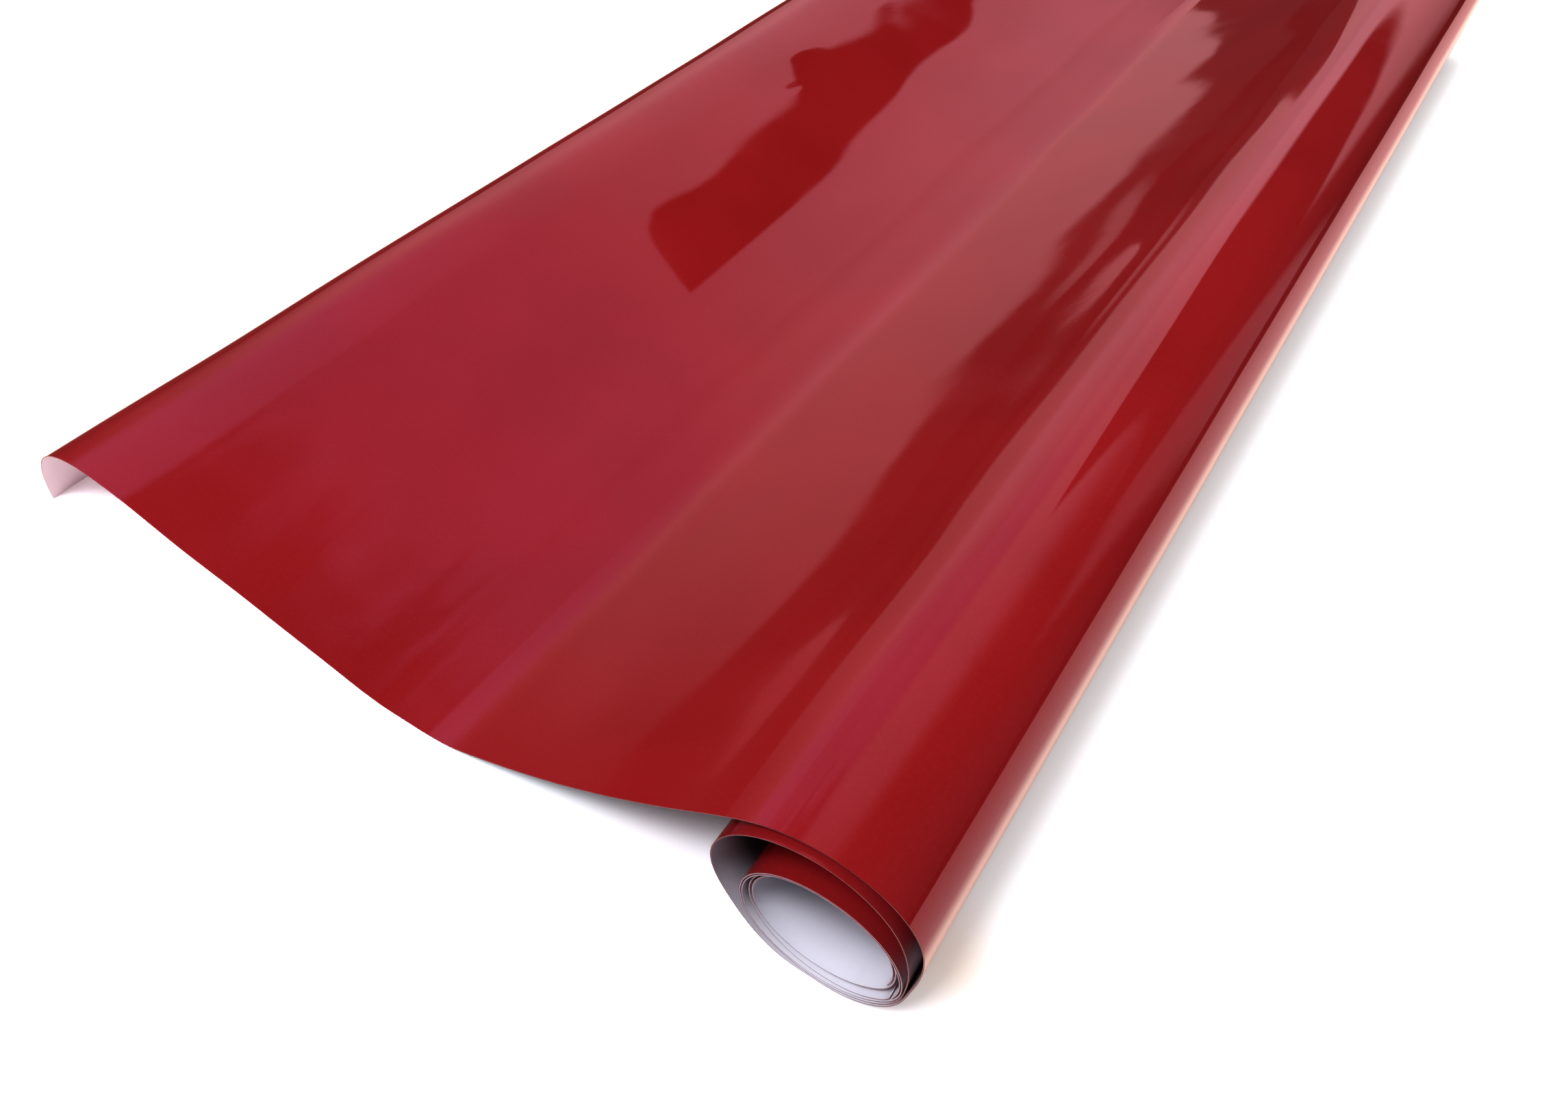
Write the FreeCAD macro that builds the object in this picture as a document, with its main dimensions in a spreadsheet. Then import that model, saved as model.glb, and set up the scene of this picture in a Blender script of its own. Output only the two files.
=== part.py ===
import FreeCAD, Part
import math
import os

import Sketcher  # makes the sketch object type available

# A coreless, part-unrolled length of self-adhesive sign vinyl, in millimetres.
# The web is three bonded sheets: release liner inside, adhesive, face film outside.
# X runs across the roll (the free leaf goes towards -X), Y is the roll axis and the
# web's width, Z is up. The origin is on the coil's bore axis at mid-width.
# Along its length the web runs: coil, inner loop, outer loop, leaf, curled end.

# Driving dimensions: alias, value, note. Angles are in degrees, anticlockwise from +X to +Z.
DIMENSIONS = [
    ("web_width", 610.0, "slit width of the web, 24 inch"),
    ("film_thick", 0.10, "calendered face film"),
    ("adhesive_thick", 0.03, "adhesive coat"),
    ("liner_thick", 0.17, "siliconised paper liner"),
    ("bore_radius", 19.1, "liner face of the innermost turn"),
    ("turn_step", 0.55, "radial pitch of the coil's turns"),
    ("jacket_radius", 21.244, "liner face where the web leaves the coil"),
    ("seam_angle", -15.0, "where the web's inner end edge sits"),
    ("step_arc", 30.0, "arc over which a turn climbs over the one inside it"),
    ("leave_angle", 264.0, "where the web leaves the coil"),
    ("core_turns", 2, "turns from the seam to the core's nominal end"),
    ("full_turns", 3, "full turns added to leave_angle for the whole winding"),
    ("jacket_lead", 5.0, "arc by which the jacket starts before the seam"),
    ("facet_angle", 3.0, "bend between neighbouring flats of the web"),
    ("round_angle", 2.0, "arc of one face of the round bore"),
    ("hinge_gap", 0.4, "cut between stretches that move against each other"),
    ("peel_gap", 0.35, "film set back behind the peel line"),
    ("peel_start", 0.15, "peeling film's root ahead of the peel line"),
    ("core_set_back", 1.0, "core turns' end set in from the roll's mouth"),
    ("loop_reach", -2.0, "inner loop's end stands out of the roll's mouth"),
]

# The web outside the coil is a chain of tangent arcs, in order from the coil to the free
# end. Each entry is (length in mm, turn in degrees, positive to the left of travel).
ARCS = {
    "inner_loop": [
        (32.9, 88.732), (9.4, 3.319), (13.16, 16.367), (15.04, 38.608),
        (16.92, 44.291), (16.92, 35.203), (16.92, 36.529), (15.04, 27.175),
        (15.04, 20.102), (8.46, 16.263), (9.728, 39.411),
    ],
    "outer_loop": [
        (7.52, 0.0), (7.52, 27.454), (20.68, 50.242), (11.28, 1.984),
        (11.575, 13.685), (10.748, 29.773), (10.748, 29.323), (11.575, 23.835),
        (11.575, 20.883), (11.575, 14.925), (13.229, 4.127), (11.28, -1.903),
    ],
    "leaf_near": [(16.92, -2.855), (33.84, -5.198)],
    "leaf_rest": [(30.08, -4.263), (15.501, -22.012), (11.28, 0.0), (16.291, -16.489)],
    "leaf_rise": [(31.96, 0.114), (31.96, 0.062)],
    "leaf_crest": [(22.56, -1.419), (20.68, 10.427)],
    "curl_root": [(16.92, 26.946)],
    "curl_end": [(13.16, 24.544), (13.16, 19.517), (12.759, 14.840)],
}
LEAF_PANELS = ("leaf_near", "leaf_rest", "leaf_rise", "leaf_crest")

FULL_TURN = 360.0
MERGE_ANGLE = 0.5  # coil facet ends closer than this to the round bore's end are dropped
STRAIGHT_TURN = 1e-9  # radians; a step that turns less is taken as straight

doc = FreeCAD.newDocument("sign_vinyl_roll")
params = doc.addObject("Spreadsheet::Sheet", "Params")


def fill_sheet():
    """Alias in column A, plain number in B, note in C; the arcs follow the dimensions."""
    rows = list(DIMENSIONS)
    for stretch, arcs in ARCS.items():
        for i, (length, turn) in enumerate(arcs, 1):
            rows.append(("%s_len_%d" % (stretch, i), length, "arc length"))
            rows.append(("%s_turn_%d" % (stretch, i), turn, "arc turn"))
    for row, (alias, number, note) in enumerate(rows, 1):
        params.set("A%d" % row, alias)
        params.set("B%d" % row, str(number))
        params.setAlias("B%d" % row, alias)
        params.set("C%d" % row, note)
    doc.recompute()


def value(alias):
    return float(params.get(alias))


fill_sheet()

# Each layer's inner and outer face, measured outward from the liner's face.
LINER_TOP = value("liner_thick")
ADHESIVE_TOP = LINER_TOP + value("adhesive_thick")
FILM_TOP = ADHESIVE_TOP + value("film_thick")
LAYERS = {
    "liner": (0.0, LINER_TOP),
    "adhesive": (LINER_TOP, ADHESIVE_TOP),
    "film": (ADHESIVE_TOP, FILM_TOP),
}
FACET = value("facet_angle")
HALF_HINGE = value("hinge_gap") / 2.0

# Winding angles grow from the seam outwards through the whole coil.
SEAM = value("seam_angle")
CLIMB = value("step_arc")
BORE = value("bore_radius")
STEP = value("turn_step")
JACKET = value("jacket_radius")
LEAVE = value("leave_angle") + value("full_turns") * FULL_TURN
CORE_TURNS = value("core_turns")


# Sections and bodies

def chain(points):
    """Line segments joining the points in order, as drawn on the XZ plane."""
    return [
        Part.LineSegment(FreeCAD.Vector(x0, z0, 0), FreeCAD.Vector(x1, z1, 0))
        for (x0, z0), (x1, z1) in zip(points, points[1:])
    ]


def band(inner, outer):
    """Closed outline between a layer's inner and outer faces."""
    return chain(inner + outer[::-1] + inner[:1])


def web_body(name, section, shift=None):
    """A layer's section padded to the web's width; shift is the alias of its move in Y."""
    body = doc.addObject("PartDesign::Body", name)
    body.Label = name
    plane = next(o for o in body.Origin.OriginFeatures if o.Role == "XZ_Plane")
    sketch = body.newObject("Sketcher::SketchObject", name + "_section")
    sketch.AttachmentSupport = [(plane, "")]
    sketch.MapMode = "FlatFace"
    sketch.addGeometry(section, False)
    pad = body.newObject("PartDesign::Pad", name + "_pad")
    pad.Profile = sketch
    # Pads without SideType take the symmetric option as Midplane.
    if hasattr(pad, "SideType"):
        pad.SideType = "Symmetric"
    else:
        pad.Midplane = True
    pad.setExpression("Length", "Params.web_width")
    body.Tip = pad
    if shift:
        body.setExpression("Placement.Base.y", "Params." + shift)
    return body


# The web outside the coil

def arc_step(station, run, turn):
    """The station reached by an arc of length run that turns by turn degrees."""
    x, z, heading = station
    before, after = math.radians(heading), math.radians(heading + turn)
    if abs(after - before) < STRAIGHT_TURN:
        x += run * math.cos(before)
        z += run * math.sin(before)
    else:
        radius = run / (after - before)
        x += radius * (math.sin(after) - math.sin(before))
        z -= radius * (math.cos(after) - math.cos(before))
    return x, z, heading + turn


def web_path():
    """Stations (x, z, heading in degrees) along the liner's face, one list per stretch."""
    leave = value("leave_angle")
    start = math.radians(leave)
    # The web leaves at a tangent to the coil.
    station = (JACKET * math.cos(start), JACKET * math.sin(start), leave + 90.0 - FULL_TURN)
    path = {}
    for stretch, arcs in ARCS.items():
        stations = [station]
        for i in range(1, len(arcs) + 1):
            length = value("%s_len_%d" % (stretch, i))
            turn = value("%s_turn_%d" % (stretch, i))
            steps = max(1, math.ceil(abs(turn) / FACET))
            for _ in range(steps):
                station = arc_step(station, length / steps, turn / steps)
                stations.append(station)
        path[stretch] = stations
    return path


def offset(station, outward, along):
    """The point moved outward from the liner's face at a station, and along the web."""
    x, z, heading = station
    angle = math.radians(heading)
    return (
        x + outward * math.sin(angle) + along * math.cos(angle),
        z - outward * math.cos(angle) + along * math.sin(angle),
    )


def strip(stations, layer, head=0.0, tail=0.0):
    """Section of one layer of a stretch, its two ends trimmed by head and tail."""
    moves = [head] + [0.0] * (len(stations) - 2) + [-tail]
    inner, outer = [
        [offset(station, face, along) for station, along in zip(stations, moves)]
        for face in LAYERS[layer]
    ]
    return band(inner, outer)


def loops(path):
    """The two loose loops around the coil; only the outer one ends at a hinge."""
    bodies = []
    for layer in LAYERS:
        inner = strip(path["inner_loop"], layer)
        outer = strip(path["outer_loop"], layer, tail=HALF_HINGE)
        bodies.append(web_body("inner_loop_" + layer, inner, "loop_reach"))
        bodies.append(web_body("outer_loop_" + layer, outer))
    return bodies


def leaf(path):
    """The leaf's panels, hinged across the web where it bends."""
    return [
        web_body(
            "%s_%s" % (panel, layer), strip(path[panel], layer, HALF_HINGE, HALF_HINGE)
        )
        for panel in LEAF_PANELS
        for layer in LAYERS
    ]


def curled_end(path):
    """The liner runs to the cut edge; film and adhesive part at the peel line.

    From the peel line to the edge, a flap of film and its adhesive peel off together.
    """
    root, end = path["curl_root"], path["curl_end"]
    whole = root + end[1:]
    bodies = [web_body("curl_liner", strip(whole, "liner", head=HALF_HINGE))]
    for layer in ("adhesive", "film"):
        held = strip(root, layer, HALF_HINGE, value("peel_gap"))
        flap = strip(end, layer, head=value("peel_start"))
        bodies.append(web_body("curl_" + layer, held))
        bodies.append(web_body("flap_" + layer, flap))
    return bodies


# The coil

def coil_radius(angle):
    """Liner face: each turn keeps one radius, then climbs over the inner end edge."""
    turn = (angle - SEAM) // FULL_TURN
    into = (angle - SEAM) - FULL_TURN * turn
    radius = BORE + STEP * (turn + max(0.0, into - (FULL_TURN - CLIMB)) / CLIMB)
    # The last arc blends to the radius at which the web leaves.
    if angle > LEAVE - CLIMB:
        radius += (JACKET - radius) * (angle - (LEAVE - CLIMB)) / CLIMB
    return radius


def jacket_radius(angle):
    """The jacket's lead stays at the radius of the turn it starts."""
    return max(coil_radius(angle), BORE + CORE_TURNS * STEP)


def winding_angles(start, end):
    steps = math.ceil((end - start) / FACET)
    return [start + (end - start) * i / steps for i in range(steps + 1)]


def coil_face(angles, radius_at, outward):
    """Points of the web's face that lies outward of the liner's face."""
    points = []
    for angle in angles:
        radius = radius_at(angle) + outward
        direction = math.radians(angle)
        points.append((radius * math.cos(direction), radius * math.sin(direction)))
    return points


def bore_arcs(end):
    """The round part of the bore, from the seam to the winding angle end."""
    circle = Part.Circle(FreeCAD.Vector(0, 0, 0), FreeCAD.Vector(0, 0, 1), BORE)
    steps = math.ceil((end - SEAM) / value("round_angle"))
    cuts = [math.radians(SEAM + (end - SEAM) * i / steps) for i in range(steps + 1)]
    return [Part.ArcOfCircle(circle, a, b) for a, b in zip(cuts, cuts[1:])]


def core_liner_section(angles, round_end):
    """True arcs round the bore, flats up the climb and all over the outer face."""
    arcs = bore_arcs(round_end)
    first, final = arcs[0].StartPoint, arcs[-1].EndPoint
    beyond = [angle for angle in angles if angle > round_end]
    inner = coil_face(beyond, coil_radius, 0.0)
    outer = coil_face(angles, coil_radius, LINER_TOP)
    return arcs + chain([(final.x, final.y)] + inner + outer[::-1] + [(first.x, first.y)])


def coil_core(layer):
    """The inner turns, ending where the next climb would begin."""
    end = SEAM + CORE_TURNS * FULL_TURN - CLIMB
    round_end = SEAM + FULL_TURN - CLIMB
    angles = [a for a in winding_angles(SEAM, end) if abs(a - round_end) > MERGE_ANGLE]
    angles = sorted(angles + [round_end])
    if layer == "liner":
        section = core_liner_section(angles, round_end)
    else:
        section = band(*[coil_face(angles, coil_radius, face) for face in LAYERS[layer]])
    return web_body("coil_core_" + layer, section, "core_set_back")


def coil_jacket(layer):
    """The outer turns, up to a hinge gap before the web leaves the coil."""
    start = SEAM + CORE_TURNS * FULL_TURN - value("jacket_lead")
    end = LEAVE - math.degrees(value("hinge_gap") / JACKET)
    angles = winding_angles(start, end)
    section = band(*[coil_face(angles, jacket_radius, face) for face in LAYERS[layer]])
    return web_body("coil_jacket_" + layer, section)


path = web_path()
bodies = loops(path) + leaf(path) + curled_end(path)
for layer in LAYERS:
    bodies += [coil_core(layer), coil_jacket(layer)]

doc.recompute()

for obj in doc.Objects:
    bad = [state for state in obj.State if state in ("Invalid", "Error")]
    if bad:
        raise RuntimeError("%s is %s" % (obj.Name, bad))
for body in bodies:
    if body.Shape.isNull() or not body.Shape.isValid() or len(body.Shape.Solids) != 1:
        raise RuntimeError("%s has no sound solid" % body.Label)

os.makedirs("parts", exist_ok=True)
for body in bodies:
    body.Shape.exportStep("parts/%s.step" % body.Label)
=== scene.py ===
import math

import bpy
import numpy as np
from mathutils import Matrix, Vector

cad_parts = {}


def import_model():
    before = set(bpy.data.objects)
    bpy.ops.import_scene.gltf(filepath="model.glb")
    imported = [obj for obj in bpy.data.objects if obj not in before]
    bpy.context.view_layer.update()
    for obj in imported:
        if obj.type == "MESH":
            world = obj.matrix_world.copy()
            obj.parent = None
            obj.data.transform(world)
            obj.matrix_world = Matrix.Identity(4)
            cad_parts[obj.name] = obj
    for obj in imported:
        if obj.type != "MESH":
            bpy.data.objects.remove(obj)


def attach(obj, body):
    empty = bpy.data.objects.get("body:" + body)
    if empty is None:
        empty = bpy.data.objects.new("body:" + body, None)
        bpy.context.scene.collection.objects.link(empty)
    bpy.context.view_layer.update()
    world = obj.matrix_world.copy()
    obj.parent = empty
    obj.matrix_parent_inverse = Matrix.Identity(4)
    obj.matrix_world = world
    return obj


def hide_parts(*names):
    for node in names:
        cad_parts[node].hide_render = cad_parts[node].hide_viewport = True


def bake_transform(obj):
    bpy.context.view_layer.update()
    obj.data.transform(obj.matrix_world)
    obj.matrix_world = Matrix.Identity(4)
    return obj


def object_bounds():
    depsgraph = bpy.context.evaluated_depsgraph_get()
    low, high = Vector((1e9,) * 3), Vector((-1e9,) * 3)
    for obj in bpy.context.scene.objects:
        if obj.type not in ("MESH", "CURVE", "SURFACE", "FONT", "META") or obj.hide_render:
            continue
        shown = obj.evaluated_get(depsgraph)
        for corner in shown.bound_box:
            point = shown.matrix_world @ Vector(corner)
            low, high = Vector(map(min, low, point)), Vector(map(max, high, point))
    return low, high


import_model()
CAD_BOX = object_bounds()

# ---------------------------------------------------------------------------------------
# The web. Lengths in millimetres here; meshes are written in metres.
# ---------------------------------------------------------------------------------------

BORE, STEP, JACKET = 19.1, 0.55, 21.244
SEAM, CLIMB, LEAVE = -15.0, 30.0, 264.0 + 3 * 360.0
CORE_END = SEAM + 2 * 360.0 - 8.0
JACKET_START = SEAM + 2 * 360.0 - 6.0
HALF = 305.0
LAYERS = {"liner": (0.0, 0.17), "adhesive": (0.17, 0.20), "film": (0.20, 0.30)}
ARCS = [
    (32.9, 88.732), (9.4, 3.319), (13.16, 16.367), (15.04, 38.608), (16.92, 44.291), (16.92, 35.203),
    (16.92, 36.529), (15.04, 27.175), (15.04, 20.102), (8.46, 16.263), (9.728, 39.411), (7.52, 0),
    (7.52, 27.454), (20.68, 50.242), (11.28, 1.984), (11.575, 13.685), (10.748, 29.773), (10.748, 29.323),
    (11.575, 23.835), (11.575, 20.883), (11.575, 14.925), (13.229, 4.127), (11.28, -1.903), (16.92, -2.855),
    (33.84, -5.198), (30.08, -4.263), (15.501, -22.012), (11.28, 0), (16.291, -16.489), (31.96, 0.114),
    (31.96, 0.062), (22.56, -1.419), (20.68, 10.427), (16.92, 26.946), (13.16, 24.544), (13.16, 19.517),
    (12.759, 14.84),
]
_ends = np.cumsum([length for length, _ in ARCS])
S_WRAP = _ends[10]  # where the second loop starts, on the table
S_LIFT, S_REST, S_RISE, S_CREST, S_CURL, S_PEEL = (_ends[i] for i in (22, 24, 28, 30, 32, 33))
S_TIP = _ends[-1]


def step(x, a, b):
    """0 before a, 1 after b, smooth between."""
    t = np.clip((np.asarray(x, float) - a) / (b - a), 0.0, 1.0)
    return t * t * (3 - 2 * t)


def coil_point(angle):
    """A point of the coil's liner face: turns of one radius, each climbing over the inner end."""
    a = np.asarray(angle, float)
    turn = np.floor((a - SEAM) / 360.0)
    into = (a - SEAM) - 360.0 * turn
    r = BORE + STEP * (turn + step(into, 360.0 - CLIMB, 360.0))
    r = r + (JACKET - r) * step(a, LEAVE - CLIMB, LEAVE)
    r = np.where(a > JACKET_START - 1, np.maximum(r, BORE + 2 * STEP), r)
    # the innermost turns hang a little loose and lie off their neighbours at the bottom
    t = np.clip((a - SEAM) / (CORE_END - SEAM), 0.0, 1.0)
    low = (1 - np.sin(np.radians(a))) / 2
    r = r - np.where(a <= CORE_END, 2.68 * (1 - t ** 6) * low ** 1.4 + 0.25 * (1 - t), 0.0)
    r = np.where(a <= CORE_END, np.minimum(r, 19.8), r)
    return np.stack([r * np.cos(np.radians(a)), r * np.sin(np.radians(a))], -1)


def polyline():
    """The jacket and the strip outside it as one fine polyline, with the web length at each point."""
    angles = np.arange(JACKET_START, LEAVE - 0.01, 0.5)
    pts = [tuple(p) for p in coil_point(angles)]
    start = len(pts)
    a = math.radians(264.0)
    x, z, heading = JACKET * math.cos(a), JACKET * math.sin(a), -6.0
    pts.append((x, z))
    for length, turn in ARCS:
        n = max(2, math.ceil(length / 0.25))
        run = length / n
        for _ in range(n):
            a, b = math.radians(heading), math.radians(heading + turn / n)
            if abs(b - a) < 1e-9:
                x, z = x + run * math.cos(a), z + run * math.sin(a)
            else:
                r = run / (b - a)
                x, z = x + r * (math.sin(b) - math.sin(a)), z - r * (math.cos(b) - math.cos(a))
            heading += turn / n
            pts.append((x, z))
    pts = np.array(pts)
    s = np.concatenate([[0.0], np.cumsum(np.hypot(*np.diff(pts, axis=0).T))])
    return pts, s - s[start]


def soften(pts, s, sigma, d=0.25):
    """Evens out the jumps in curvature between arcs without shrinking the curve."""
    grid = np.arange(s[0], s[-1], d)
    p = np.stack([np.interp(grid, s, pts[:, k]) for k in (0, 1)], -1)
    reach = int(4 * sigma / d)
    kernel = np.exp(-0.5 * (np.arange(-reach, reach + 1) * d / sigma) ** 2)
    kernel /= kernel.sum()

    def blur(q):
        head = 2 * q[0] - q[reach:0:-1]
        tail = 2 * q[-1] - q[-2 : -reach - 2 : -1]
        full = np.concatenate([head, q, tail])
        return np.stack([np.convolve(full[:, k], kernel, "valid") for k in (0, 1)], -1)

    b = blur(p)
    return grid, 2 * b - blur(b)


raw_pts, raw_s = polyline()
GRID, PTS = soften(raw_pts, raw_s, 3.2)
TAN = np.gradient(PTS, GRID, axis=0)
TAN /= np.linalg.norm(TAN, axis=1)[:, None]
CORE_ANGLES = np.arange(SEAM, CORE_END + 0.01, 0.5)
CORE_PTS = coil_point(CORE_ANGLES)
CORE_S = np.concatenate([[0.0], np.cumsum(np.hypot(*np.diff(CORE_PTS, axis=0).T))])
CORE_S += GRID[0] - 1.0 - CORE_S[-1]
CORE_TAN = np.gradient(CORE_PTS, CORE_S, axis=0)
CORE_TAN /= np.linalg.norm(CORE_TAN, axis=1)[:, None]


def centre(s):
    """Point and outward normal of the liner's face at web length s."""
    core = s < GRID[0] - 0.5
    out = []
    for k in (0, 1):
        out.append(np.where(core, np.interp(s, CORE_S, CORE_PTS[:, k]), np.interp(s, GRID, PTS[:, k])))
    for k in (0, 1):
        out.append(np.where(core, np.interp(s, CORE_S, CORE_TAN[:, k]), np.interp(s, GRID, TAN[:, k])))
    x, z, tx, tz = out
    n = np.hypot(tx, tz)
    return x, z, tz / n, -tx / n


def end_shift(s):
    """How far the web's cut edges stand off along Y: the turns don't lie quite flush."""
    return (
        1.0 * (1 - step(s, CORE_S[-1] - 60, CORE_S[-1]))
        - 1.8 * step(s, 28, 58) * (1 - step(s, 112, 150))
        - 0.25 * step(s, S_WRAP - 12, S_WRAP + 12)
    )


RIPPLES = [  # amplitude, period along the web, period along the roll, phase
    (0.20, 210.0, 330.0, 0.4), (0.13, -160.0, 210.0, 1.7), (0.10, 118.0, 167.0, 3.1),
    (0.07, -92.0, 121.0, 5.0), (0.045, 64.0, 96.0, 2.2), (0.03, -47.0, 71.0, 0.9),
]
BUMPS = [  # height, s, y, reach along s, reach along y
    (0.55, 522.6, -270.2, 14.1, 39.5), (-0.5, 499.1, -286.2, 12.2, 37.6),
    (0.45, 476.6, -292.8, 13.2, 33.8), (-0.32, 457.8, -270.2, 11.3, 28.2),
    (0.3, 441.8, -234.5, 13.2, 37.6), (-0.28, 419.2, -264.6, 11.3, 43.2),
    (0.3, 377.9, -243.9, 18.8, 51.7), (-0.10, 349.7, -131.1, 14.2, 66.4),
    (0.06, 334.6, 143.3, 10.5, 37.6), (-0.07, 344.0, 204.4, 11.3, 33.8),
    (0.3, 512.3, 197.9, 20.7, 56.4), (-0.25, 451.2, 38.1, 24.4, 65.8),
]


def ripple(s, y):
    """How far the web stands off its even path, along its outward normal."""
    loop = step(s, S_WRAP + 10, S_WRAP + 60)
    leaf = step(s, S_LIFT - 55, S_LIFT + 30)
    flat = 1 - 0.75 * np.exp(-(((s - 411.7) / 15.0) ** 2)) - 0.6 * np.exp(-(((s - 325.0) / 32.0) ** 2))
    tip = 1 - 0.55 * step(s, S_CURL, S_TIP)
    d = np.zeros(np.broadcast(s, y).shape)
    for amp, ps, py, ph in RIPPLES:
        d += amp * np.sin(2 * math.pi * (s / ps + y / py) + ph)
    b = np.zeros_like(d)
    for h, s0, y0, rs, ry in BUMPS:
        b += h * np.exp(-(((s - s0) / rs) ** 2) - ((y - y0) / ry) ** 2)
    return (d * (0.22 * loop + 0.78 * leaf) + b * leaf) * flat * tip


def surface(s, y, n):
    """World points, in metres, n millimetres outside the liner's face."""
    x, z, nx, nz = centre(s)
    off = n + ripple(s, y)
    p = np.stack([x + nx * off, y + end_shift(s) + 0 * off, z + nz * off], -1)
    return p * 0.001


def skin(name, layer, s0, s1, ds, columns):
    """One layer of one stretch: a closed sheet with its true thickness and even shading."""
    n0, n1 = LAYERS[layer]
    rows = max(2, int(math.ceil((s1 - s0) / ds)) + 1)
    u = np.linspace(s0, s1, rows)
    v = np.linspace(-1, 1, columns)
    v = HALF * (0.72 * v + 0.28 * np.sin(v * math.pi / 2))  # closer together near the edges
    S, Y = np.meshgrid(u, v, indexing="ij")
    sheets, normals = [], []
    for n in (n0, n1):
        p = surface(S, Y, n)
        h = 0.35
        lo, hi = (S - h), (S + h)
        if s0 < GRID[0] - 0.5:  # stays on the coil's own curve at its ends
            lo, hi = np.maximum(lo, CORE_S[0]), np.minimum(hi, CORE_S[-1])
        else:
            lo, hi = np.maximum(lo, GRID[0]), np.minimum(hi, GRID[-1])
        ts = surface(hi, Y, n) - surface(lo, Y, n)
        ty = surface(S, Y + h, n) - surface(S, Y - h, n)
        ts[..., 1] = 0.0
        nn = np.cross(ty, ts)
        nn /= np.linalg.norm(nn, axis=-1)[..., None]
        sheets.append(p)
        normals.append(nn)
    # the outward side is the right of the path; cross(ty, ts) must agree with it
    x, z, nx, nz = centre(S)
    agree = np.sign((normals[1][..., 0] * nx + normals[1][..., 2] * nz).sum())
    normals = [n * agree for n in normals]
    R, C = rows, columns
    count = R * C
    verts = np.concatenate([sheets[0].reshape(-1, 3), sheets[1].reshape(-1, 3)])
    idx = np.arange(count).reshape(R, C)
    a, b, c, d = idx[:-1, :-1], idx[1:, :-1], idx[1:, 1:], idx[:-1, 1:]
    quads, qn = [], []

    def add(q, nrm):
        quads.append(q.reshape(-1, 4))
        qn.append(nrm.reshape(-1, 4, 3))

    def corner_normals(arr, q):
        return arr.reshape(-1, 3)[q % count]

    outer = np.stack([a, b, c, d], -1) + count
    inner = np.stack([a, d, c, b], -1)
    add(outer, corner_normals(normals[1], outer.reshape(-1, 4)))
    add(inner, -corner_normals(normals[0], inner.reshape(-1, 4)))
    tang = np.cross(normals[1], np.array([0.0, 1.0, 0.0]))
    tang /= np.linalg.norm(tang, axis=-1)[..., None]
    tang *= np.sign(((sheets[0][1:] - sheets[0][:-1]) * tang[:-1]).sum())
    for side, col in ((-1, 0), (1, C - 1)):
        i = idx[:, col]
        q = np.stack([i[:-1], i[:-1] + count, i[1:] + count, i[1:]], -1)
        if side > 0:
            q = q[:, ::-1]
        nrm = np.zeros((len(q), 4, 3))
        nrm[..., 1] = side
        add(q, nrm)
    for side, rowi in ((-1, 0), (1, R - 1)):
        i = idx[rowi]
        q = np.stack([i[:-1], i[1:], i[1:] + count, i[:-1] + count], -1)
        if side > 0:
            q = q[:, ::-1]
        add(q, side * corner_normals(tang, q))
    quads = np.concatenate(quads)
    qn = np.concatenate(qn)
    # wind every face so that it looks the way its corner normals say
    p0, p1, p2, p3 = (verts[quads[:, k]] for k in range(4))
    face_n = np.cross(p2 - p0, p3 - p1)
    wrong = (face_n * qn.mean(1)).sum(1) < 0
    quads[wrong] = quads[wrong][:, ::-1]
    qn[wrong] = qn[wrong][:, ::-1]
    mesh = bpy.data.meshes.new(name)
    mesh.vertices.add(len(verts))
    mesh.vertices.foreach_set("co", verts.astype(np.float32).ravel())
    mesh.loops.add(quads.size)
    mesh.loops.foreach_set("vertex_index", quads.astype(np.int32).ravel())
    mesh.polygons.add(len(quads))
    mesh.polygons.foreach_set("loop_start", np.arange(0, quads.size, 4, dtype=np.int32))
    mesh.polygons.foreach_set("loop_total", np.full(len(quads), 4, np.int32))
    mesh.update(calc_edges=True)
    mesh.validate()
    mesh.polygons.foreach_set("use_smooth", np.ones(len(quads), bool))
    web = mesh.attributes.new("web", "FLOAT_VECTOR", "POINT")
    flat = np.stack([S, Y + 0 * S, 0 * S], -1).reshape(-1, 3)
    coords = np.concatenate([flat, flat + [0, 0, 1.0]])
    web.data.foreach_set("vector", coords.astype(np.float32).ravel())
    mesh.normals_split_custom_set(qn.reshape(-1, 3).astype(np.float32).tolist())
    obj = bpy.data.objects.new(name, mesh)
    bpy.context.scene.collection.objects.link(obj)
    return obj


# ---------------------------------------------------------------------------------------
# Materials
# ---------------------------------------------------------------------------------------


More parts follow.
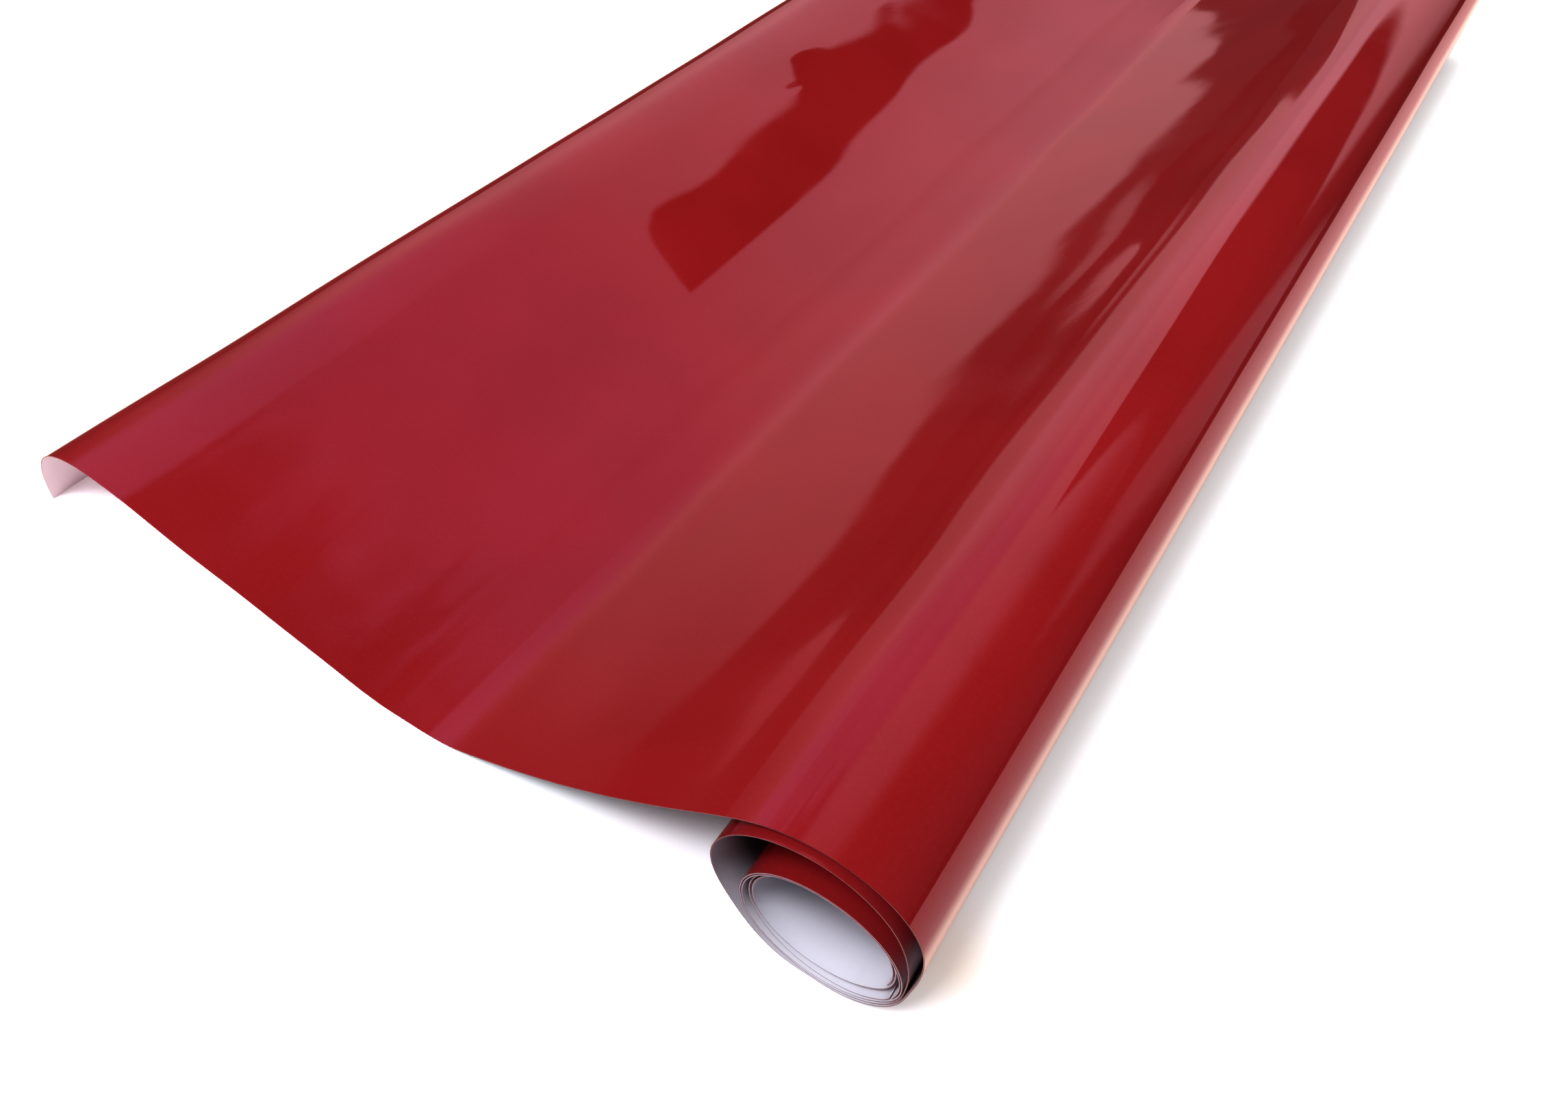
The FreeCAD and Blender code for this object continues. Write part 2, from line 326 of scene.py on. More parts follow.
class Graph:
    """Short calls for a shader's arithmetic."""

    def __init__(self, tree):
        self.t = tree

    def put(self, socket, value):
        if hasattr(value, "is_output"):
            self.t.links.new(value, socket)
        else:
            socket.default_value = value

    def m(self, op, *args, clamp=False):
        n = self.t.nodes.new("ShaderNodeMath")
        n.operation, n.use_clamp = op, clamp
        for i, v in enumerate(args):
            self.put(n.inputs[i], v)
        return n.outputs[0]

    def add(self, a, b):
        return self.m("ADD", a, b)

    def sub(self, a, b):
        return self.m("SUBTRACT", a, b)

    def mul(self, a, b):
        return self.m("MULTIPLY", a, b)

    def ramp(self, x, a, b, lo=0.0, hi=1.0):
        """lo before a, hi after b, smooth between."""
        n = self.t.nodes.new("ShaderNodeMapRange")
        n.interpolation_type = "SMOOTHSTEP"
        flip = a > b
        if flip:
            a, b, lo, hi = b, a, hi, lo
        self.put(n.inputs["Value"], x)
        n.inputs["From Min"].default_value, n.inputs["From Max"].default_value = a, b
        n.inputs["To Min"].default_value, n.inputs["To Max"].default_value = lo, hi
        return n.outputs[0]

    def mix(self, fac, a, b):
        n = self.t.nodes.new("ShaderNodeMix")
        n.data_type = "FLOAT"
        self.put(n.inputs[0], fac)
        self.put(n.inputs[2], a)
        self.put(n.inputs[3], b)
        return n.outputs[0]

    def color(self, fac, a, b, how="MIX"):
        n = self.t.nodes.new("ShaderNodeMix")
        n.data_type, n.blend_type = "RGBA", how
        n.clamp_result = False
        self.put(n.inputs[0], fac)
        self.put(n.inputs[6], a)
        self.put(n.inputs[7], b)
        return n.outputs[2]

    def noise(self, vector, scale, detail=2.0, rough=0.5, kind="FBM"):
        n = self.t.nodes.new("ShaderNodeTexNoise")
        n.noise_dimensions = "3D"
        self.put(n.inputs["Vector"], vector)
        n.inputs["Scale"].default_value = scale
        n.inputs["Detail"].default_value = detail
        n.inputs["Roughness"].default_value = rough
        return n.outputs["Fac"]

    def xyz(self, vector):
        n = self.t.nodes.new("ShaderNodeSeparateXYZ")
        self.put(n.inputs[0], vector)
        return n.outputs[0], n.outputs[1], n.outputs[2]

    def vec(self, x, y, z):
        n = self.t.nodes.new("ShaderNodeCombineXYZ")
        for i, v in enumerate((x, y, z)):
            self.put(n.inputs[i], v)
        return n.outputs[0]

    def curve(self, x, points):
        """A smooth curve through (x, value) points."""
        xs, vs = [p[0] for p in points], [p[1] for p in points]
        lo, hi = min(vs), max(vs)
        n = self.t.nodes.new("ShaderNodeFloatCurve")
        self.put(n.inputs["Value"], self.m("DIVIDE", self.sub(x, xs[0]), xs[-1] - xs[0], clamp=True))
        c = n.mapping.curves[0]
        at = [((a - xs[0]) / (xs[-1] - xs[0]), (v - lo) / (hi - lo)) for a, v in points]
        c.points[0].location, c.points[1].location = at[0], at[-1]
        for a in at[1:-1]:
            c.points.new(*a)
        for q in c.points:
            q.handle_type = "AUTO_CLAMPED"
        n.mapping.update()
        return self.add(self.mul(n.outputs[0], hi - lo), lo)

    def cut_edge(self):
        """1 on the web's two cut edges, which face along Y."""
        n = self.t.nodes.new("ShaderNodeNewGeometry")
        y = self.xyz(n.outputs["True Normal"])[1]
        return self.ramp(self.m("ABSOLUTE", y), 0.75, 0.9)

    def voronoi(self, vector, scale, out="Distance"):
        n = self.t.nodes.new("ShaderNodeTexVoronoi")
        self.put(n.inputs["Vector"], vector)
        n.inputs["Scale"].default_value = scale
        return n.outputs[out]


def material(name):
    m = bpy.data.materials.new(name)
    m.use_nodes = True
    t = m.node_tree
    shader = next(n for n in t.nodes if n.type == "BSDF_PRINCIPLED")
    return m, Graph(t), shader


def web_coords(g):
    n = g.t.nodes.new("ShaderNodeAttribute")
    n.attribute_type, n.attribute_name = "GEOMETRY", "web"
    return n.outputs["Vector"]


def bump(g, height, distance, strength=1.0, normal=None):
    n = g.t.nodes.new("ShaderNodeBump")
    g.put(n.inputs["Height"], height)
    n.inputs["Distance"].default_value = distance
    n.inputs["Strength"].default_value = strength
    if normal is not None:
        g.put(n.inputs["Normal"], normal)
    return n.outputs[0]


def gaussian_mark(g, s, y, s0, y0, rs, ry, turn=0.0):
    """1 at a point of the web, falling away over rs and ry."""
    c, k = math.cos(math.radians(turn)), math.sin(math.radians(turn))
    ds, dy = g.sub(s, s0), g.sub(y, y0)
    a = g.m("DIVIDE", g.add(g.mul(ds, c), g.mul(dy, k)), rs)
    b = g.m("DIVIDE", g.sub(g.mul(dy, c), g.mul(ds, k)), ry)
    r2 = g.add(g.mul(a, a), g.mul(b, b))
    return g.m("EXPONENT", g.mul(r2, -1.0))


DENTS = [  # s, y, reach along s, along y, turn, depth
    (539.6, -208.0, 2.2, 5.0, 20, 0.10), (490.5, -195.5, 2.4, 4.0, -15, 0.07),
    (461.5, -183.6, 2.0, 6.5, 35, 0.12), (435.7, -135.1, 1.6, 6.5, 10, 0.12),
    (434.8, -151.9, 2.6, 4.5, -30, 0.12), (442.3, -149.0, 1.5, 3.5, 60, 0.07),
    (507.6, 38.1, 2.4, 5.5, 10, 0.05), (377.9, 0.5, 2.2, 6.0, -20, 0.04),
]


def film_material():
    m, g, b = material("gloss_film")
    web = web_coords(g)
    s, y, _ = g.xyz(web)
    # colour: one deep burgundy, very slightly uneven where the calendered film varies
    cloud = g.noise(web, 0.011, 3.0, 0.5)
    grain = g.noise(web, 0.9, 2.0, 0.6)
    base = g.color(g.ramp(cloud, 0.35, 0.65), (0.205, 0.0052, 0.0056, 1), (0.235, 0.0062, 0.0072, 1))
    base = g.color(g.mul(g.ramp(grain, 0.4, 0.75), 0.10), base, (0.32, 0.020, 0.024, 1))
    # dust specks, a few millimetres to centimetres apart, each under half a millimetre
    cell = g.voronoi(web, 0.055)
    pick = g.noise(web, 0.031, 0.0)
    dust = g.mul(g.ramp(cell, 0.022, 0.012), g.ramp(pick, 0.53, 0.60))
    base = g.color(g.mul(dust, 0.75), base, (0.62, 0.42, 0.42, 1))
    base = g.color(g.cut_edge(), base, (0.17, 0.012, 0.014, 1))
    g.put(b.inputs["Base Color"], base)
    # sheen: glossy, with handling haze and fine rubs along the web
    smear = g.noise(g.vec(g.mul(s, 0.35), y, 0.0), 0.020, 4.0, 0.55)
    rub = g.noise(g.vec(g.mul(s, 3.2), g.mul(y, 0.10), 0.0), 0.30, 3.0, 0.6)
    rough = g.add(0.032, g.mul(g.ramp(smear, 0.45, 0.75), 0.045))
    rough = g.add(rough, g.mul(g.ramp(rub, 0.62, 0.80), 0.04))
    rough = g.add(rough, g.mul(dust, 0.4))
    g.put(b.inputs["Roughness"], rough)
    b.inputs["IOR"].default_value = 1.46
    edge = g.cut_edge()
    g.put(b.inputs["Specular IOR Level"], g.mix(edge, 0.74, 0.10))
    b.inputs["Specular Tint"].default_value = (1.0, 0.56, 0.66, 1)
    g.put(b.inputs["Coat Weight"], g.mix(edge, 0.18, 0.0))
    b.inputs["Coat Roughness"].default_value = 0.03
    # relief: calender waves, fine orange peel, handling dents, one hairline crease
    peel = g.noise(web, 0.55, 2.0, 0.5)
    sway = g.noise(g.vec(g.mul(s, 1.0), g.mul(y, 0.45), 0.0), 0.035, 2.0, 0.45)
    height = g.add(g.mul(sway, 0.055), g.mul(peel, 0.0022))
    for s0, y0, rs, ry, turn, depth in DENTS:
        height = g.sub(height, g.mul(gaussian_mark(g, s, y, s0, y0, rs, ry, turn), depth))
    # the crease runs between two of the dents
    c0, c1 = (470.8, -178.9), (458.6, -145.5)
    length = math.hypot(c1[0] - c0[0], c1[1] - c0[1])
    dx, dy = (c1[0] - c0[0]) / length, (c1[1] - c0[1]) / length
    along = g.add(g.mul(g.sub(s, c0[0]), dx), g.mul(g.sub(y, c0[1]), dy))
    across = g.sub(g.mul(g.sub(s, c0[0]), dy), g.mul(g.sub(y, c0[1]), dx))
    across = g.add(across, g.mul(g.m("SINE", g.mul(along, 0.16)), 1.1))
    line = g.m("EXPONENT", g.mul(g.mul(across, across), -2.2))
    line = g.mul(line, g.mul(g.ramp(along, 0.0, 5.0), g.ramp(along, length, length - 6.0)))
    height = g.sub(height, g.mul(line, 0.022))
    height = g.add(height, g.mul(dust, 0.05))
    g.put(b.inputs["Normal"], bump(g, height, 0.001))
    return m


def liner_material():
    m, g, b = material("silicone_liner")
    web = web_coords(g)
    s, y, face = g.xyz(web)
    fibre = g.noise(g.vec(g.mul(s, 1.0), g.mul(y, 2.2), 0.0), 0.42, 5.0, 0.62)
    cloud = g.noise(web, 0.018, 3.0, 0.5)
    base = g.color(g.ramp(cloud, 0.3, 0.7), (0.85, 0.825, 0.91, 1), (0.88, 0.855, 0.93, 1))
    base = g.color(g.mul(g.ramp(fibre, 0.48, 0.72), 0.10), base, (0.68, 0.65, 0.73, 1))
    streak = g.noise(g.vec(g.mul(s, 0.16), g.mul(y, 0.010), 0.0), 1.0, 2.0, 0.5)
    base = g.color(g.mul(g.ramp(streak, 0.55, 0.72), 0.12), base, (0.70, 0.67, 0.75, 1))
    # painted light: on its inner face the liner of the one hanging layer at the curl is tinted pink, standing in
    # for light that comes through the thin paper and the burgundy film and for red light bounced off the film
    painted_curl_light = g.mul(g.ramp(s, S_CURL - 40, S_CURL + 5, 0.0, 0.9), g.ramp(face, 0.6, 0.4))
    base = g.color(painted_curl_light, base, (0.96, 0.74, 0.77, 1))
    edge = g.color(g.ramp(s, -25.0, 15.0), (0.66, 0.55, 0.62, 1), (0.26, 0.055, 0.060, 1))
    base = g.color(g.cut_edge(), base, edge)
    # painted shade: between the loose loops the light falls off within a couple of centimetres of the mouth, so the
    # liner's colour is darkened towards black there
    depth = g.sub(HALF, g.m("ABSOLUTE", y))
    inside = g.mul(g.ramp(s, 20.0, 40.0), g.ramp(s, S_LIFT - 20, S_LIFT - 70))
    base = g.color(g.mul(g.ramp(depth, 1.0, 13.0, 0.22, 0.97), inside), base, (0.040, 0.020, 0.024, 1))
    # painted shade inside the bore: the liner's colour greys with depth from the cut edge
    base = g.color(g.mul(g.ramp(depth, 1.0, 15.0, 0.0, 0.86), g.ramp(s, 30.0, -10.0)), base, (0.30, 0.275, 0.32, 1))
    # light that has already bounced once inside the roll dies away quickly, tinted by the film
    again = g.t.nodes.new("ShaderNodeLightPath").outputs["Is Diffuse Ray"]
    base = g.color(g.mul(again, g.ramp(s, S_CURL - 40, S_CURL - 60, 0.0, 1.0)), base, (0.34, 0.29, 0.33, 1))
    g.put(b.inputs["Base Color"], base)
    rough = g.add(0.34, g.mul(g.ramp(fibre, 0.3, 0.8), 0.16))
    g.put(b.inputs["Roughness"], rough)
    b.inputs["Specular IOR Level"].default_value = 0.26
    height = g.add(g.mul(fibre, 0.020), g.mul(g.noise(web, 0.05, 2.0), 0.10))
    g.put(b.inputs["Normal"], bump(g, height, 0.001, 0.8))
    return m


def adhesive_material():
    m, g, b = material("clear_adhesive")
    web = web_coords(g)
    s, y, _ = g.xyz(web)
    lines = g.noise(g.vec(g.mul(s, 0.10), g.mul(y, 1.4), 0.0), 0.8, 3.0, 0.6)
    spots = g.voronoi(web, 0.16)
    base = g.color(g.ramp(lines, 0.35, 0.7), (0.66, 0.62, 0.55, 1), (0.74, 0.70, 0.62, 1))
    base = g.color(g.mul(g.ramp(spots, 0.16, 0.05), 0.35), base, (0.55, 0.50, 0.44, 1))
    base = g.color(g.cut_edge(), base, (0.20, 0.035, 0.04, 1))
    g.put(b.inputs["Base Color"], base)
    g.put(b.inputs["Roughness"], g.add(0.16, g.mul(g.ramp(lines, 0.3, 0.8), 0.16)))
    b.inputs["Specular IOR Level"].default_value = 0.5
    height = g.add(g.mul(lines, 0.012), g.mul(g.ramp(spots, 0.16, 0.0), 0.03))
    g.put(b.inputs["Normal"], bump(g, height, 0.001, 0.8))
    return m


MATERIALS = {"film": film_material(), "liner": liner_material(), "adhesive": adhesive_material()}


# ---------------------------------------------------------------------------------------
# Pieces: every layer of every stretch; a stretch with one body is parented to it, one that spans two bodies is only
# baked in place
# ---------------------------------------------------------------------------------------


def at(s, n=0.15):
    x, z, nx, nz = centre(np.array([s]))
    return np.array([x[0] + nx[0] * n, 0.0, z[0] + nz[0] * n]) * 0.001


def along(s, reach, back=None):
    """Two points either side of the web's place s, along its run there."""
    x, z, nx, nz = centre(np.array([s]))
    d = np.array([-nz[0], 0.0, nx[0]]) * 0.001
    p = at(s)
    return tuple(p - d * (reach if back is None else back)), tuple(p + d * reach)


LEAD = -20.0  # web length where the coil starts to lead out into the loops
MID = {
    "near": (S_LIFT + S_REST) / 2,
    "rest": (S_REST + S_RISE) / 2,
    "rise": (S_RISE + S_CREST) / 2,
    "crest": (S_CREST + S_CURL) / 2,
    "root": (S_CURL + S_PEEL) / 2,
}
STRETCHES = [
    # name, from, to, step, columns, ride or (body, body, start, end), CAD stretches it stands for
    ("core_turns", CORE_S[0], CORE_S[-1], 1.5, 13, "coil_core", ["coil_core"]),
    ("jacket_turns", GRID[0], LEAD, 1.5, 13, "coil_jacket", ["coil_jacket"]),
    ("lead_out", LEAD, 18.8, 1.2, 25,
     ("coil_jacket", "outer_wraps", (-0.016, 0, -0.02), (0.0145, 0, -0.02)), ["coil_jacket", "inner_loop"]),
    ("inner_wrap", 18.8, S_WRAP - 5, 1.6, 25, "outer_wraps", ["inner_loop"]),
    ("outer_wrap", S_WRAP - 5, S_LIFT - 24, 1.6, 81, "outer_wraps", ["inner_loop", "outer_loop"]),
    ("leaf_root", S_LIFT - 24, MID["near"], 2.0, 81,
     ("outer_wraps", "leaf_near") + along(S_LIFT, 22), ["outer_loop", "leaf_near"]),
    ("leaf_valley", MID["near"], MID["rest"], 2.0, 81,
     ("leaf_near", "leaf_rest") + along(S_REST, 22), ["leaf_near", "leaf_rest"]),
    ("leaf_slope", MID["rest"], MID["rise"], 2.0, 81,
     ("leaf_rest", "leaf_rise") + along(S_RISE, 24), ["leaf_rest", "leaf_rise"]),
    ("leaf_rise", MID["rise"], MID["crest"], 2.0, 81,
     ("leaf_rise", "leaf_crest") + along(S_CREST, 20), ["leaf_rise", "leaf_crest"]),
    ("curl_shoulder", MID["crest"], MID["root"], 1.5, 81,
     ("leaf_crest", "curl") + along(S_CURL, 8.5), ["leaf_crest", "curl"]),
]
PIECES = {}


def place(obj, body):
    if isinstance(body, str):
        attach(obj, body)
    else:
        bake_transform(obj)


def make(stretch, layer, s0, s1, ds, columns, body, stands_for):
    obj = skin("%s_%s" % (stretch, layer), layer, s0, s1, ds, columns)
    obj.data.materials.append(MATERIALS[layer])
    place(obj, body)
    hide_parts(*stands_for)
    PIECES[obj.name] = obj


for name, s0, s1, ds, columns, body, stands in STRETCHES:
    for layer in LAYERS:
        make(name, layer, s0, s1, ds, columns, body, ["%s_%s" % (c, layer) for c in stands])
# the curled end: its liner in one, its film and adhesive split at the peel line
make("curl_end", "liner", MID["root"], GRID[-1], 1.2, 81, "curl", ["curl_liner"])
for layer in ("adhesive", "film"):
    make("curl_fold", layer, MID["root"], S_PEEL, 1.2, 81, "curl", ["curl_" + layer])
    start, end = along(S_PEEL, 7.0, 0.0)
    make("peel_flap", layer, S_PEEL, GRID[-1], 1.2, 81,
         ("curl", "film_flap", start, end), ["flap_" + layer])

# ---------------------------------------------------------------------------------------
# Stage: pale floor, soft light, the camera
# ---------------------------------------------------------------------------------------

lo, hi = CAD_BOX
TABLE = lo[2]


def floor():
    mesh = bpy.data.meshes.new("floor")
    r = 60.0
    mesh.from_pydata([(-r, -r, TABLE), (r, -r, TABLE), (r, r, TABLE), (-r, r, TABLE)], [], [(0, 1, 2, 3)])
    obj = bpy.data.objects.new("floor", mesh)
    bpy.context.scene.collection.objects.link(obj)
    m, g, b = material("pale_table")
    coord = g.t.nodes.new("ShaderNodeTexCoord").outputs["Object"]
    tone = g.noise(coord, 3.0, 2.0)
    base = g.color(g.ramp(tone, 0.3, 0.7), (0.86, 0.855, 0.85, 1), (0.88, 0.875, 0.87, 1))
    x, y, _ = g.xyz(coord)
    # painted reflection: the table as the gloss sees it, glowing cream just right of the roll, pinkish red
    # elsewhere, paler far to the left, and dark past the table's far and left edges
    far = g.ramp(g.add(g.mul(x, 0.94), g.mul(y, 0.34)), 0.60, 0.68)
    left = g.ramp(x, -0.335, -0.37)
    mirrored = g.color(g.ramp(x, 0.070, 0.032), (1.06, 0.44, 0.42, 1), (1.50, 0.98, 0.80, 1))
    mirrored = g.color(g.ramp(x, 0.010, -0.010), mirrored, (1.10, 0.62, 0.56, 1))
    mirrored = g.color(g.ramp(x, -0.27, -0.29), mirrored, (1.15, 0.85, 0.66, 1))
    mirrored = g.color(g.m("MAXIMUM", far, left), mirrored, (0.06, 0.022, 0.022, 1))
    # painted bounce light: away from the camera's own rays the table bounces less light into the roll's mouth, and
    # more light than a white table would onto the curl's underside
    bounce = g.color(g.ramp(x, -0.20, -0.12), (1.15, 1.04, 1.04, 1), (0.13, 0.125, 0.15, 1))
    base = bounce
    path = g.t.nodes.new("ShaderNodeLightPath")
    base = g.color(path.outputs["Is Glossy Ray"], base, mirrored)
    # painted light and shadow on the floor as the camera sees it: brighter right of the roll, which washes out its
    # shadow there, a painted pinkish-grey shadow left of the mouth under the leaf's edge and a painted cream shadow
    # right of the mouth
    pale = g.color(g.ramp(x, 0.02, 0.10), (1.42, 1.44, 1.43, 1), (2.0, 2.05, 2.05, 1))
    mm = g.mul(x, 1000.0), g.mul(y, 1000.0)
    pale = g.color(gaussian_mark(g, *mm, -58.0, -286.0, 24.0, 16.0), pale, (1.30, 1.16, 1.16, 1))
    pale = g.color(gaussian_mark(g, *mm, 27.0, -284.0, 13.0, 13.0), pale, (1.32, 1.18, 1.04, 1))
    seen = g.color(path.outputs["Is Camera Ray"], base, pale)
    matt = g.t.nodes.new("ShaderNodeBsdfDiffuse")
    g.put(matt.inputs["Color"], seen)
    # the table runs out into an even white backdrop
    sweep = g.t.nodes.new("ShaderNodeEmission")
    sweep.inputs["Color"].default_value = (0.98, 0.98, 0.98, 1)
    away = g.ramp(g.m("SQRT", g.add(g.mul(x, x), g.mul(y, y))), 0.55, 1.3)
    mix = g.t.nodes.new("ShaderNodeMixShader")
    g.put(mix.inputs[0], g.mul(away, path.outputs["Is Camera Ray"]))
    g.t.links.new(matt.outputs[0], mix.inputs[1])
    g.t.links.new(sweep.outputs[0], mix.inputs[2])
    out = next(n for n in g.t.nodes if n.type == "OUTPUT_MATERIAL")
    g.t.links.new(mix.outputs[0], out.inputs["Surface"])
    obj.data.materials.append(m)


def world():
    w = bpy.data.worlds.new("studio")
    bpy.context.scene.world = w
    w.use_nodes = True
    t = w.node_tree
    t.nodes.clear()
    g = Graph(t)
    out = t.nodes.new("ShaderNodeOutputWorld")
    coord = t.nodes.new("ShaderNodeTexCoord").outputs["Generated"]
    x, y, z = g.xyz(coord)
    # azimuth from +Y towards +X, elevation above the horizon, in degrees
    az = g.mul(g.m("ARCTAN2", x, y), 57.29578)
    el = g.mul(g.m("ARCSINE", g.m("MINIMUM", g.m("MAXIMUM", z, -1.0), 1.0)), 57.29578)
    rag = g.mul(g.sub(g.noise(coord, 11.0, 5.0, 0.62), 0.5), 9.0)
    wob = g.mul(g.sub(g.noise(coord, 4.0, 2.0, 0.5), 0.5), 6.0)
    # the bright side of the room, fading out to its edges
    ea = g.m("DIVIDE", g.add(az, 20.0), 56.0)
    eb = g.m("DIVIDE", g.sub(g.add(el, g.mul(wob, 0.5)), 22.0), 50.0)
    r = g.m("SQRT", g.add(g.mul(ea, ea), g.mul(eb, eb)))
    bright = g.mul(g.ramp(r, 0.15, 0.75, 0.98, 0.62), g.ramp(r, 0.66, 1.03, 1.0, 0.08))
    bright = g.mul(bright, g.ramp(el, 3.0, 22.0, 0.58, 1.0))
    side = g.mul(g.ramp(az, -14.0, 18.0), g.ramp(el, 22.0, 44.0))
    side = g.m("MAXIMUM", side, g.ramp(g.add(az, g.mul(rag, 0.1)), 17.0, 21.0))
    bright = g.mul(bright, g.sub(1.0, g.mul(side, 0.95)))
    bright = g.m("MAXIMUM", bright, g.mul(g.ramp(az, 40.0, 55.0), 0.07))
    # a pale upright strip at the right, ragged down its near side
    turned = g.add(az, g.mul(rag, 0.22))
    strip = g.mul(g.ramp(turned, 26.5, 29.5), g.ramp(turned, 43.0, 37.0))
    strip = g.mul(strip, g.ramp(g.add(el, g.mul(rag, 0.3)), 38.0, 30.0))
    bright = g.m("MAXIMUM", bright, g.mul(strip, 0.36))
    # soft light from the rest of the room
    back = g.mul(g.ramp(g.m("ABSOLUTE", g.add(az, 4.0)), 84.0, 112.0), g.ramp(el, 8.0, 48.0, 0.30, 0.85))
    bright = g.m("MAXIMUM", bright, back)
    # a dark upright panel straight behind
    edge = g.add(az, g.mul(rag, 0.06))
    top = g.add(g.sub(42.5, g.mul(g.m("ABSOLUTE", g.add(az, 15.0)), 0.16)), g.mul(wob, 0.15))
    panel = g.mul(g.ramp(edge, -17.4, -16.2), g.ramp(edge, 24.0, 20.0))
    panel = g.mul(panel, g.ramp(g.sub(el, top), 0.9, -0.9))
    foot = g.sub(el, g.ramp(az, -17.0, 3.0, 16.6, 20.4))
    panel = g.mul(panel, g.ramp(foot, -0.8, 0.8))
    bright = g.mul(bright, g.sub(1.0, panel))
    # dark, ragged things low on the horizon
    shape = g.mul(rag, g.ramp(az, -33.0, -27.0, 0.03, 0.26))
    rise = g.mul(g.ramp(az, -24.6, -22.4), g.ramp(az, -19.8, -20.8))
    shape = g.sub(shape, g.mul(rise, 7.0))
    low = g.ramp(g.add(el, shape), 2.7, 1.9)
    bright = g.mul(bright, g.sub(1.0, g.mul(low, 0.94)))
    # a paler ledge under them
    ledge = g.mul(g.ramp(az, -38.5, -35.5), g.ramp(az, -29.0, -31.5))
    ledge = g.mul(ledge, g.ramp(g.add(el, g.mul(rag, 0.12)), 1.25, 0.7))
    level = g.add(g.m("MAXIMUM", bright, g.mul(ledge, 0.26)), 0.02)
    tint = g.color(g.ramp(el, 0.0, 60.0), (1.28, 0.60, 0.64, 1), (1.25, 0.62, 0.76, 1))
    mirror = t.nodes.new("ShaderNodeBackground")
    g.put(mirror.inputs["Color"], tint)
    g.put(mirror.inputs["Strength"], level)
    plain = t.nodes.new("ShaderNodeBackground")
    plain.inputs["Color"].default_value = (0.93, 0.95, 1.0, 1)
    lit = g.mul(g.ramp(z, 0.0, 1.0, 0.12, 1.08), g.ramp(x, -0.1, 0.9, 1.0, 0.30))
    lit = g.mul(lit, g.ramp(y, -0.9, 0.1, 0.55, 1.0))
    g.put(plain.inputs["Strength"], lit)
    path = t.nodes.new("ShaderNodeLightPath")
    mix = t.nodes.new("ShaderNodeMixShader")
    t.links.new(path.outputs["Is Glossy Ray"], mix.inputs[0])
    t.links.new(plain.outputs[0], mix.inputs[1])
    t.links.new(mirror.outputs[0], mix.inputs[2])
    backdrop = t.nodes.new("ShaderNodeBackground")
    backdrop.inputs["Color"].default_value = (0.98, 0.98, 0.98, 1)
    seen = t.nodes.new("ShaderNodeMixShader")
    t.links.new(path.outputs["Is Camera Ray"], seen.inputs[0])
    t.links.new(mix.outputs[0], seen.inputs[1])
    t.links.new(backdrop.outputs[0], seen.inputs[2])
    t.links.new(seen.outputs[0], out.inputs["Surface"])


def area(name, where, aim, size, power, colour):
    data = bpy.data.lights.new(name, "AREA")
    data.shape, data.size, data.size_y = "RECTANGLE", size[0], size[1]
    data.energy, data.color = power, colour
    obj = bpy.data.objects.new(name, data)
    obj.location = where
    obj.rotation_mode = "QUATERNION"
    obj.rotation_quaternion = (Vector(aim) - Vector(where)).to_track_quat("-Z", "Y")
    obj.visible_glossy = False
    bpy.context.scene.collection.objects.link(obj)


LOUVRE = -177.0


